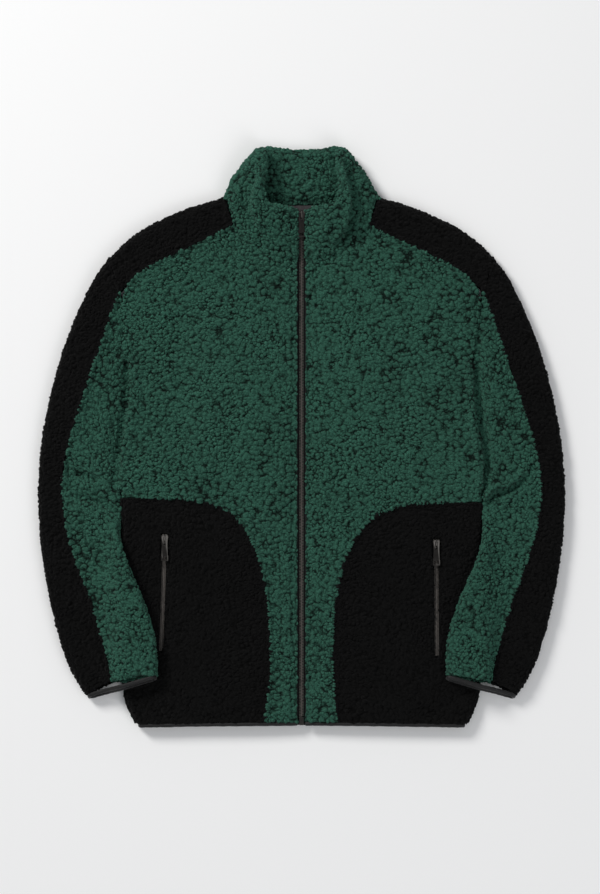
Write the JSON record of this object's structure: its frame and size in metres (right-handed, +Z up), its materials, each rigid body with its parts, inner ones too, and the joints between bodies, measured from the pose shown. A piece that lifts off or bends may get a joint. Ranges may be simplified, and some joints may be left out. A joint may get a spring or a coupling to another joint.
{
  "type": "fleece jacket",
  "caption": "High-pile fleece jacket with a stand-up collar, full-length front zip and zipped hand pockets, laid flat on its back.",
  "frame": {"origin": "on the underside of the back panel, under the middle of the laid-out jacket's outline", "axes": "+X towards the wearer's left sleeve, +Y from the hem to the collar, +Z up off the surface it lies on, out of its front"},
  "size_m": [0.714, 0.7858, 0.0414],
  "materials": {
    "green_fleece": "curly high pile",
    "black_fleece": "curly high pile",
    "binding": "smooth elastic",
    "lining": "smooth knit",
    "zip_tape": "woven",
    "zip_teeth": "satin",
    "slider_metal": "gunmetal"
  },
  "bodies": {
    "jacket": {"back": "green_fleece", "front_right": "green_fleece", "front_left": "green_fleece", "pocket_panel_right": "black_fleece", "pocket_panel_left": "black_fleece", "shoulder_right": "black_fleece", "shoulder_left": "black_fleece", "sleeve_stripe_right": "black_fleece", "sleeve_stripe_left": "black_fleece", "under_sleeve_right": "green_fleece", "under_sleeve_left": "green_fleece", "cuff_binding_right": "binding", "cuff_binding_left": "binding", "hem_binding": "binding", "collar_outer": "green_fleece", "collar_inner": "green_fleece", "neck_facing": "lining", "zip_tape_right": "zip_tape", "zip_tape_left": "zip_tape", "zip_chain": "zip_teeth", "zip_box": "slider_metal", "zip_slider": "slider_metal", "pocket_right_zip_tape": "zip_tape", "pocket_left_zip_tape": "zip_tape", "pocket_right_zip_chain": "zip_teeth", "pocket_left_zip_chain": "zip_teeth", "pocket_right_slider": "slider_metal", "pocket_left_slider": "slider_metal"},
    "main_pull": {"zip_pull": "slider_metal"},
    "right_pocket_pull": {"pocket_right_pull": "slider_metal"},
    "left_pocket_pull": {"pocket_left_pull": "slider_metal"}
  },
  "joints": [
    {"name": "main_pull_hinge", "type": "hinge", "parent": "jacket", "child": "main_pull", "pos_m": [0, 0.3007, 0.02511], "axis": [-1, 0, 0], "range_deg": [0, 170]},
    {"name": "right_pocket_pull_hinge", "type": "hinge", "parent": "jacket", "child": "right_pocket_pull", "pos_m": [-0.18473, -0.1358, 0.0176], "axis": [-1, 0, 0], "range_deg": [0, 165]},
    {"name": "left_pocket_pull_hinge", "type": "hinge", "parent": "jacket", "child": "left_pocket_pull", "pos_m": [0.18205, -0.1418, 0.0176], "axis": [-1, 0, 0], "range_deg": [0, 165]}
  ]
}
